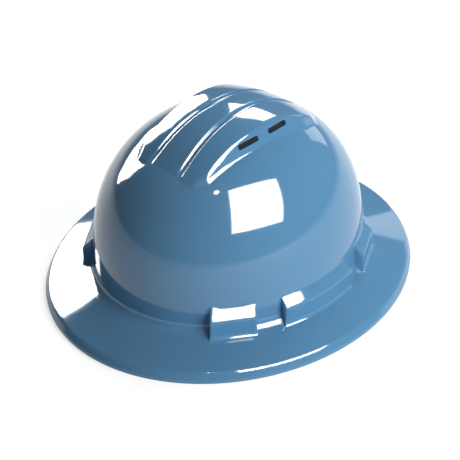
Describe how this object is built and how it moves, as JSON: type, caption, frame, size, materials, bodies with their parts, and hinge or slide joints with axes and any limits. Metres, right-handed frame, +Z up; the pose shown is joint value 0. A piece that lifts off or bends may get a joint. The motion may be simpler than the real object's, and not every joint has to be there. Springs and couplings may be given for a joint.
{
  "type": "full brim hard hat",
  "caption": "Full brim hard hat with ridged vented crown, side accessory slots and a removable strap suspension tightened by a ratchet knob.",
  "frame": {"origin": "centre of the brim's edge plane, under the middle of the hat", "axes": "+X to the wearer's left, +Y to the back of the head, +Z up; the wearer looks along -Y"},
  "size_m": [0.292, 0.329, 0.1559],
  "materials": {
    "shell_plastic": "smooth glossy blue moulded plastic",
    "black_nylon": "fine satin moulded nylon",
    "grey_acetal": "smooth satin moulded acetal",
    "webbing": "flat woven polyester webbing",
    "pad_fabric": "brushed knit cloth over foam",
    "grip_rubber": "soft matte rubber",
    "zinc_steel": "bright zinc plated steel"
  },
  "bodies": {
    "shell": {"shell": "shell_plastic"},
    "suspension": {"key_front_left": "black_nylon", "key_front_right": "black_nylon", "key_rear_left": "black_nylon", "key_rear_right": "black_nylon", "height_studs": "grey_acetal", "crown_strap_upper": "webbing", "crown_strap_lower": "webbing"},
    "headband": {"headband": "black_nylon", "brow_pad": "pad_fabric", "brow_pad_studs": "grey_acetal", "nape_pad": "pad_fabric", "ratchet_plate": "black_nylon", "ratchet_cover": "black_nylon", "cover_screws": "zinc_steel"},
    "knob": {"ratchet_knob": "black_nylon", "knob_grip": "grip_rubber", "click_spring": "grey_acetal", "knob_screw": "zinc_steel", "ratchet_pinion": "grey_acetal"},
    "tail_left": {"tail_left": "black_nylon"},
    "tail_right": {"tail_right": "black_nylon"}
  },
  "joints": [
    {"name": "suspension_release", "type": "slide", "parent": "shell", "child": "suspension", "axis": [0, 0, -1], "range_m": [0, 0.13]},
    {"name": "height_adjust", "type": "slide", "parent": "suspension", "child": "headband", "axis": [0, 0, -1], "range_m": [0, 0.008]},
    {"name": "knob_turn", "type": "hinge", "parent": "headband", "child": "knob", "pos_m": [0, 0.1078, 0.019], "axis": [0, 1, 0], "range_deg": [-135, 135]},
    {"name": "tail_left_slide", "type": "hinge", "parent": "headband", "child": "tail_left", "pos_m": [0, 0.014, 0.019], "axis": [0, 0, 1], "range_deg": [-13.4, 13.4]},
    {"name": "tail_right_slide", "type": "hinge", "parent": "headband", "child": "tail_right", "pos_m": [0, 0.014, 0.019], "axis": [0, 0, 1], "range_deg": [-13.4, 13.4]}
  ],
  "couplings": [
    {"joint": "tail_left_slide", "follows": "knob_turn", "ratio": -0.098426},
    {"joint": "tail_right_slide", "follows": "knob_turn", "ratio": 0.098426}
  ]
}
